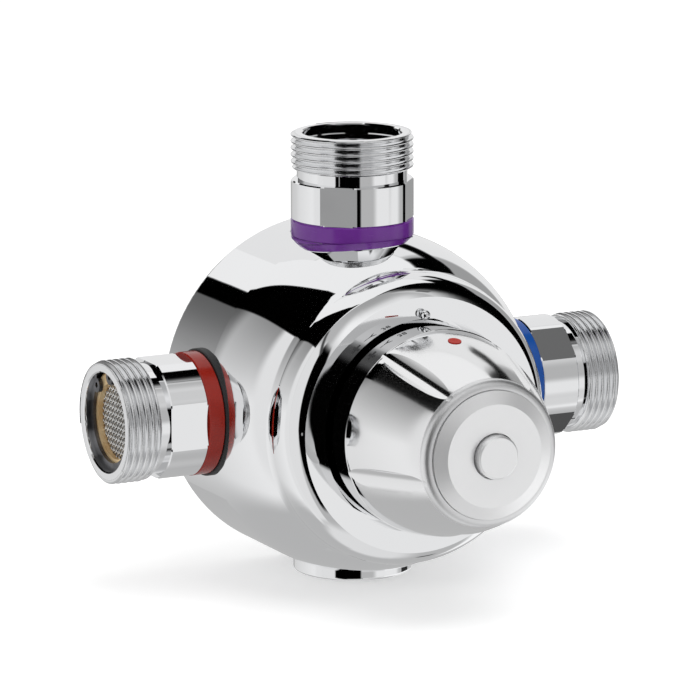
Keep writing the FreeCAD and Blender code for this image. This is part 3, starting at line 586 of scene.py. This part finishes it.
# %% Dress the solids
SLOT_FINISH = {
    "body_chrome": "polished_casting", "coupling_chrome": "polished_coupling",
    "knob_chrome": "plated_knob", "cap_chrome": "satin_cap",
    "red_ring": "red_ring_plastic", "blue_ring": "blue_ring_plastic",
    "violet_ring": "violet_ring_plastic", "red_dot": "red_dot_plastic",
    "brass": "turned_brass", "stainless": "stainless_wire",
    "spring_steel": "dark_spring_steel", "seal_rubber": "seal_rubber",
    "white_plastic": "white_plastic", "black_plastic": "black_plastic",
    "copper": "copper_skin",
}
SLOT_OF = {part["node"]: part["material_slot"] for part in frame["record"]["subparts"]}

for name, slot_name in SLOT_OF.items():
    for place in frame["nodes"][name].material_slots:
        place.material = FINISHES[SLOT_FINISH[slot_name]]
print("dressed", len(SLOT_OF), "solids")

# %% [markdown]
# The solids carry each pipe thread as a plain cylinder. A real thread is one rounded
# ridge that winds round, cut back by a chamfer at both ends. A screw modifier could wind
# it, but its ends would stick out. Geometry Nodes bend a flat grid into that ridge
# instead: one way along the grid follows the helix, the other is the ridge's profile, so
# every turn meets the next along the same edge, and both ends are trimmed by a rule.

# %% Helpers for geometry trees


def new_tree(name, numbers):
    """Geometry tree with a mesh input, named sizes and one output."""
    tree = bpy.data.node_groups.new(name, "GeometryNodeTree")
    tree.interface.new_socket("Base", in_out="INPUT", socket_type="NodeSocketGeometry")
    for label in numbers:
        tree.interface.new_socket(label, in_out="INPUT", socket_type="NodeSocketFloat")
    tree.interface.new_socket("Finish", in_out="INPUT", socket_type="NodeSocketMaterial")
    tree.interface.new_socket("Result", in_out="OUTPUT", socket_type="NodeSocketGeometry")
    entry = tree.nodes.new("NodeGroupInput")
    return tree, {socket.name: Wire(tree, socket) for socket in entry.outputs if socket.name}


def point_place(tree):
    """X, Y and Z of each point."""
    return outputs(node(tree, "SeparateXYZ", {}, [node(tree, "GeometryNodeInputPosition")]))


def joined(tree, shapes):
    """Several shapes as one."""
    whole = node(tree, "GeometryNodeJoinGeometry")
    for shape in shapes:
        tree.links.new(shape.socket, whole.socket.node.inputs[0])
    return whole


def end_tree(tree, shape, finish):
    """Last nodes of a geometry tree: real mesh, then material."""
    real = node(tree, "GeometryNodeRealizeInstances", {}, [shape])
    named = node(tree, "GeometryNodeSetMaterial", {}, {"Geometry": real, "Material": finish})
    leave = tree.nodes.new("NodeGroupOutput")
    tree.links.new(named.socket, leave.inputs["Result"])


def grow(piece, tree, values):
    """Run a geometry tree on a piece and keep the result as its plain mesh."""
    maker = piece.modifiers.new("maker", "NODES")
    maker.node_group = tree
    for item in tree.interface.items_tree:
        if item.item_type == "SOCKET" and item.name in values:
            maker[item.identifier] = values[item.name]
    graph = bpy.context.evaluated_depsgraph_get()
    made = bpy.data.meshes.new_from_object(piece.evaluated_get(graph))
    piece.modifiers.remove(maker)
    piece.data = made
    return made


print("tree helpers ready")

# %% The thread tree
STEPS_ALONG_HELIX = 672
STEPS_OVER_RIDGE = 12
crest_flat = 0.03


def thread_tree():
    """Grid bent into a helical ridge, cut back at both ends, joined to its core."""
    names = ["Pitch", "Turns", "Root", "Crest", "Low", "High", "Edge"]
    tree, size = new_tree("pipe_thread", names)
    grid = node(tree, "GeometryNodeMeshGrid", {}, {
        "Size X": 1.0, "Size Y": 1.0,
        "Vertices X": STEPS_ALONG_HELIX + 1, "Vertices Y": STEPS_OVER_RIDGE + 1})
    across, along = point_place(tree)[:2]
    turned = (across + 0.5) * size["Turns"]
    angle = turned * (2 * math.pi)
    from_crest = (along * 2.0).math("ABSOLUTE")
    ridge = 1 - from_crest.ramp(crest_flat, 1 - crest_flat)
    rise = size["Low"] - size["Pitch"] * 0.5 + (turned + along) * size["Pitch"]
    rise = rise.math("MAXIMUM", size["Low"]).math("MINIMUM", size["High"])
    nearest_end = (rise - size["Low"]).math("MINIMUM", size["High"] - rise)
    limit = size["Crest"] - size["Edge"] + nearest_end
    radius = (size["Root"] + ridge * (size["Crest"] - size["Root"])).math("MINIMUM", limit)
    place = node(tree, "CombineXYZ", {}, [
        radius * angle.math("COSINE"), radius * angle.math("SINE"), rise])
    bent = node(tree, "GeometryNodeSetPosition", {}, {"Geometry": grid, "Position": place})
    end_tree(tree, joined(tree, [bent, size["Base"]]), size["Finish"])
    return tree


PIPE_THREAD = thread_tree()
print("thread tree", len(PIPE_THREAD.nodes), "nodes")

# %% [markdown]
# Under the thread each coupling is a turned tube with four milled wrench flats. Cutting
# the flats with a boolean leaves long thin faces that spoil the shading. Here the
# outline is turned column by column, and a column that passes a flat stops at it.

# %% The turned core of a coupling, in millimetres
TAIL_BORE, TAIL_RADIUS, BORE, MOUTH, GROOVE = 13.0, 17.35, 15.0, 16.9, 17.9
WRENCH_RADIUS, UNDERCUT_RADIUS, CORE_RADIUS = 21.0, 18.9, 19.5
CHAMFER = 0.4
TAIL_FOOT, TAIL_FLOOR, MOUTH_FLOOR = -13.5, -1.5, 23.8
GROOVE_HIGH, GROOVE_LOW = 2.15, 3.65
RING_TOP = ring_width / mm
FLATS_TOP = RING_TOP + wrench_length / mm
THREAD_FOOT = thread_start / mm
COUPLING_TOP = coupling_length / mm
COLUMN_DEGREES = 2.5
SHARP_DEGREES = 5
just_past = 0.01
merge_distance = 1e-7


def coupling_outline():
    """Closed outline of a coupling, as radius and height from its seat."""
    groove = [(radius, COUPLING_TOP - depth) for radius, depth in (
        (MOUTH, GROOVE_HIGH), (GROOVE, GROOVE_HIGH), (GROOVE, GROOVE_LOW), (MOUTH, GROOVE_LOW))]
    return [
        (TAIL_BORE, TAIL_FOOT), (TAIL_RADIUS - CHAMFER, TAIL_FOOT),
        (TAIL_RADIUS, TAIL_FOOT + CHAMFER), (TAIL_RADIUS, RING_TOP),
        (WRENCH_RADIUS - CHAMFER, RING_TOP), (WRENCH_RADIUS, RING_TOP + CHAMFER),
        (WRENCH_RADIUS, FLATS_TOP - CHAMFER), (WRENCH_RADIUS - CHAMFER, FLATS_TOP),
        (UNDERCUT_RADIUS, FLATS_TOP), (UNDERCUT_RADIUS, THREAD_FOOT),
        (CORE_RADIUS, THREAD_FOOT), (CORE_RADIUS, COUPLING_TOP),
        (MOUTH + CHAMFER, COUPLING_TOP), (MOUTH, COUPLING_TOP - CHAMFER), *groove,
        (MOUTH, MOUTH_FLOOR), (BORE, MOUTH_FLOOR), (BORE, TAIL_FLOOR), (TAIL_BORE, TAIL_FLOOR)]


def column_angles(half_flats, clocking):
    """Degrees of the columns: even steps, and the edges of the flats where there are any."""
    angles = {round(COLUMN_DEGREES * step, 3) for step in range(int(360 / COLUMN_DEGREES))}
    if half_flats:
        for radius in (WRENCH_RADIUS - CHAMFER, WRENCH_RADIUS):
            reach = math.degrees(math.acos(half_flats / radius))
            for quarter in range(4):
                for side in (-reach, reach):
                    angles.add(round((clocking + 90 * quarter + side) % 360, 3))
    return sorted(angles)


def turned_mesh(name, outline, half_flats=None, clocking=0.0):
    """Turn an outline about Z, and mill four flats between the ring and the undercut."""
    edit = bmesh.new()
    columns = []
    for angle in column_angles(half_flats, clocking):
        from_flat = math.radians((angle - clocking + 45) % 90 - 45)
        turn = math.radians(angle)
        column = []
        for radius, rise in outline:
            if half_flats and RING_TOP - just_past < rise < FLATS_TOP + just_past:
                radius = min(radius, half_flats / math.cos(from_flat))
            column.append(edit.verts.new((
                radius * mm * math.cos(turn), radius * mm * math.sin(turn), rise * mm)))
        columns.append(column)
    count = len(outline)
    for index, column in enumerate(columns):
        following = columns[(index + 1) % len(columns)]
        for here in range(count):
            after = (here + 1) % count
            edit.faces.new([column[here], following[here], following[after], column[after]])
    bmesh.ops.remove_doubles(edit, verts=edit.verts, dist=merge_distance)
    bmesh.ops.recalc_face_normals(edit, faces=edit.faces)
    for edge in edit.edges:
        edge.smooth = edge.calc_face_angle(0.0) < math.radians(SHARP_DEGREES)
    mesh = bpy.data.meshes.new(name)
    edit.to_mesh(mesh)
    edit.free()
    return mesh


print("a coupling's outline has", len(coupling_outline()), "corners")

# %% [markdown]
# Each coupling is clocked as it was screwed in, so the flats of the three face different
# ways. The thread is rolled, not buffed, so its faces get a duller finish than the rest.
# The new piece stands for the plain solid, and rides on the same body.

# %% Thread the three couplings
CLOCKING = {"hot": 0.0, "cold": 45.6, "outlet": 50.0}
HALF_FLATS = {"hot": 19.45, "cold": 20.0, "outlet": 20.0}
root_sunk = 0.03 * mm
thread_chamfer = 0.75 * mm
core_skin = 19.3 * mm
first_turn = 0.1 * mm


def thread_coupling(port):
    """One coupling with its pipe thread, which stands for the plain solid."""
    core = turned_mesh(port + "_core", coupling_outline(), HALF_FLATS[port], CLOCKING[port])
    piece = add_object(port + "_coupling", core)
    made = grow(piece, PIPE_THREAD, {
        "Pitch": thread_pitch, "Turns": thread_length / thread_pitch + 1.0,
        "Root": thread_root - root_sunk, "Crest": thread_radius,
        "Low": thread_start, "High": coupling_length,
        "Edge": thread_chamfer, "Finish": FINISHES["polished_coupling"]})
    made.materials.clear()
    for finish in ("polished_coupling", "rolled_thread"):
        made.materials.append(FINISHES[finish])
    for face in made.polygons:
        past_undercut = face.center.z > thread_start + first_turn
        face.use_smooth = True
        face.material_index = int(past_undercut and face.center.xy.length > core_skin)
    made.transform(port_place(port))
    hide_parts(port + "_union")
    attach(piece, "valve")
    return piece


for port in ("hot", "cold", "outlet"):
    threaded = thread_coupling(port)
    print(threaded.name, len(threaded.data.polygons), "faces")

# %% [markdown]
# Behind each marking ring a thin band closes the gap to the round casting. It is a
# painted reflection: it stands in for the ring's mirror image in the chrome ball, black
# in the seal rubber finish on the two inlets, and in the ring's own violet on the outlet.
# Each is a plain turned ring, so the helper that turned the couplings makes it too.

# %% Painted reflection bands behind the marking rings, in millimetres
BAND_BORE = 20.55
BAND_GAP = 0.06
BAND_BEVEL = (0.25, 0.5)


def ring_reflection_band(port, slot, half, foot):
    """Band of painted reflection between the casting and a marking ring, with its outer radius
    and its foot.
    """
    inset, shoulder = BAND_BEVEL
    outline = [(BAND_BORE, foot), (half, foot), (half, -shoulder),
               (half - inset, -BAND_GAP), (BAND_BORE, -BAND_GAP)]
    mesh = turned_mesh(port + "_band", outline)
    mesh.transform(port_place(port))
    mesh.materials.append(FINISHES[SLOT_FINISH[slot]])
    for face in mesh.polygons:
        face.use_smooth = True
    piece = add_object(port + "_ring_reflection_band", mesh)
    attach(piece, "valve")
    return piece


# Black band on each inlet: painted reflection of the red or blue ring in the ball.
for port in ("hot", "cold"):
    print(ring_reflection_band(port, "seal_rubber", half=21.7, foot=-3.1).name, "made")
# Violet band on the outlet: painted reflection of the violet ring in the ball.
print(ring_reflection_band("outlet", "violet_ring", half=20.95, foot=-3.3).name, "made")

# %% [markdown]
# Behind each circlip sits a strainer of woven wire. A bump pattern would look flat from
# the side, so the wires are real. Each is a wavy rod that passes over one crossing wire
# and under the next. One set of wires is made across a row of points, and the second
# set is the first turned over a diagonal, so the waves always pass each other.

# %% The weave tree
WIRES = 21
POINTS_ON_WIRE = 104
WIRE_SIDES = 6


def weave_tree():
    """Round patch of plain woven wire, lying flat."""
    tree, size = new_tree("woven_wire", ["Pitch", "Wire", "Wave", "Radius", "Turn"])
    first_row = size["Pitch"] * (-(WIRES - 1) / 2)
    row = node(tree, "GeometryNodeMeshLine", {"mode": "OFFSET", "count_mode": "TOTAL"}, {
        "Count": WIRES, "Start Location": node(tree, "CombineXYZ", {}, [0.0, first_row]),
        "Offset": node(tree, "CombineXYZ", {}, [0.0, size["Pitch"]])})
    across = point_place(tree)[1]
    chord = (size["Radius"] * size["Radius"] - across * across).math("MAXIMUM", 0.0)
    chord = chord.math("SQRT") * 2.0
    rod = node(tree, "GeometryNodeCurvePrimitiveLine", {}, {
        "Start": (-0.5, 0, 0), "End": (0.5, 0, 0)})
    rods = node(tree, "GeometryNodeInstanceOnPoints", {}, {
        "Points": row, "Instance": rod,
        "Scale": node(tree, "CombineXYZ", {}, [chord, 1.0, 1.0])})
    rods = node(tree, "GeometryNodeRealizeInstances", {}, [rods])
    rods = node(tree, "GeometryNodeResampleCurve", {}, {"Curve": rods, "Count": POINTS_ON_WIRE})
    along, row_place = point_place(tree)[:2]
    phase = (along + row_place) / size["Pitch"] * math.pi
    wave = phase.math("COSINE") * size["Wave"]
    rods = node(tree, "GeometryNodeSetPosition", {}, {
        "Geometry": rods, "Offset": node(tree, "CombineXYZ", {}, [0.0, 0.0, wave])})
    section = node(tree, "GeometryNodeCurvePrimitiveCircle", {"mode": "RADIUS"}, {
        "Resolution": WIRE_SIDES, "Radius": size["Wire"]})
    wires = node(tree, "GeometryNodeCurveToMesh", {}, {
        "Curve": rods, "Profile Curve": section, "Fill Caps": True})
    crossing = node(tree, "GeometryNodeTransform", {}, {
        "Geometry": wires, "Rotation": (math.pi, 0, math.pi / 2)})
    spin = node(tree, "CombineXYZ", {}, [0.0, 0.0, size["Turn"]])
    laid = node(tree, "GeometryNodeTransform", {}, {
        "Geometry": joined(tree, [wires, crossing]), "Rotation": spin})
    end_tree(tree, laid, size["Finish"])
    return tree


WOVEN_WIRE = weave_tree()
print("weave tree", len(WOVEN_WIRE.nodes), "nodes")

# %% The strainers in the two mouths
strainer_depth = 5.7 * mm


def strainer(port):
    """Woven strainer of one inlet, in the groove of its brass ring."""
    piece = add_object(port + "_strainer", bpy.data.meshes.new("patch"))
    made = grow(piece, WOVEN_WIRE, {
        "Pitch": 1.5 * mm, "Wire": 0.27 * mm, "Wave": 0.22 * mm, "Radius": 13.1 * mm,
        "Turn": math.radians(45), "Finish": FINISHES["stainless_wire"]})
    depth = Matrix.Translation((0, 0, coupling_length - strainer_depth))
    made.transform(port_place(port) @ depth)
    made.shade_smooth()
    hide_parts(port + "_filter_mesh")
    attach(piece, "valve")
    return piece


for port in ("hot", "cold"):
    woven = strainer(port)
    print(woven.name, len(woven.data.polygons), "faces")

# %% [markdown]
# Four coil springs sit between a shoulder and a piece that moves. A spring that rode on
# one body would push through the other. Each spring solid is copied into a piece of its
# own, in the same place, and the solid is hidden.

# %% Copies of the springs


def closing_spring(name):
    """Copy of a spring solid, which stands in its place."""
    solid = frame["nodes"][name]
    mesh = solid.data.copy()
    mesh.transform(solid.matrix_world)
    piece = add_object(name + "_coil", mesh)
    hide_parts(name)
    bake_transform(piece)
    print(piece.name, "made")


closing_spring("hot_check_spring")
closing_spring("cold_check_spring")
closing_spring("relief_spring")
closing_spring("return_spring")

# %% [markdown]
# Round the knob's skirt stand small signs: a plus and a minus with arrowheads that say
# which way is warmer and which is colder, and a number. They are thin dark inlays that
# follow the skirt's curve. A decal would need a picture, so they are real faces. Each
# sign is drawn flat, thickened and wrapped round the knob's axis. The number is a flat
# sheet of letters, wrapped just proud of the skirt.

# %% Outlines of the signs, in millimetres
sign_span, sign_stroke = 3.9, 1.0
arrow_length, arrow_breadth, arrow_notch = 4.8, 2.3, 0.2


def bar(width, depth):
    """Outline of an upright bar."""
    x, y = width / 2, depth / 2
    return [(-x, -y), (x, -y), (x, y), (-x, y)]


def cross(span, stroke):
    """Outline of a plus sign."""
    far, near = span / 2, stroke / 2
    return [(-far, -near), (-near, -near), (-near, -far), (near, -far), (near, -near),
            (far, -near), (far, near), (near, near), (near, far), (-near, far),
            (-near, near), (-far, near)]


def arrow(length, breadth):
    """Outline of a slim arrowhead that points to the left."""
    return [(-length / 2, 0), (length / 2, -breadth / 2), (length * arrow_notch, 0),
            (length / 2, breadth / 2)]


def mirrored(outline):
    """The same outline seen in a mirror, still the same way round."""
    return [(-x, y) for x, y in reversed(outline)]


left_arrow = arrow(arrow_length, arrow_breadth)
SIGNS = {
    -39: cross(sign_span, sign_stroke), -29: left_arrow,
    39: bar(sign_span, sign_stroke), 29: mirrored(left_arrow),
}
print("signs at", sorted(SIGNS), "degrees from the top")

# %% Wrapping round the skirt
skirt_radius = 35.0 * mm
sign_reach = 58.2 * mm
sign_sunk, sign_proud = -0.12 * mm, 0.05 * mm
number_proud = 0.04 * mm


def wrapped(across, along, lift, angle):
    """Point on the skirt: millimetres round it and along it, at an angle from the top."""
    turn = math.radians(angle) + across * mm / skirt_radius
    reach = skirt_radius + lift
    return Vector((reach * math.sin(turn), -sign_reach - along * mm,
                   axis_height + reach * math.cos(turn)))


def add_sign(edit, outline, angle):
    """One thickened sign, wrapped round the skirt."""
    low, high = [
        [edit.verts.new(wrapped(x, y, lift, angle)) for x, y in outline]
        for lift in (sign_sunk, sign_proud)]
    edit.faces.new(list(reversed(low)))
    edit.faces.new(high)
    count = len(outline)
    for here in range(count):
        after = (here + 1) % count
        edit.faces.new([low[here], low[after], high[after], high[here]])


def add_number(edit, words, height_mm, angle):
    """A small number, drawn as text, made a mesh and wrapped round the skirt."""
    letters = bpy.data.curves.new("number", "FONT")
    letters.body = words
    letters.size = height_mm
    letters.align_x = "CENTER"
    letters.align_y = "CENTER"
    letters.resolution_u = 3
    holder = add_object("number", letters)
    graph = bpy.context.evaluated_depsgraph_get()
    flat = bpy.data.meshes.new_from_object(holder.evaluated_get(graph))
    bpy.data.objects.remove(holder)
    for corner in flat.vertices:
        corner.co = wrapped(corner.co.x, corner.co.y, number_proud, angle)
    edit.from_mesh(flat)


print("skirt radius", round(skirt_radius, 4))

# %% The signs as one piece


def skirt_signs():
    """All signs as one piece on the knob."""
    edit = bmesh.new()
    for angle, outline in SIGNS.items():
        add_sign(edit, outline, angle)
    add_number(edit, "38", height_mm=3.4, angle=-18)
    bmesh.ops.recalc_face_normals(edit, faces=edit.faces)
    bmesh.ops.triangulate(edit, faces=edit.faces)
    mesh = bpy.data.meshes.new("skirt_signs")
    edit.to_mesh(mesh)
    edit.free()
    mesh.materials.append(FINISHES["black_plastic"])
    piece = add_object("skirt_signs", mesh)
    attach(piece, "knob")
    return piece


print(skirt_signs().name, "made")
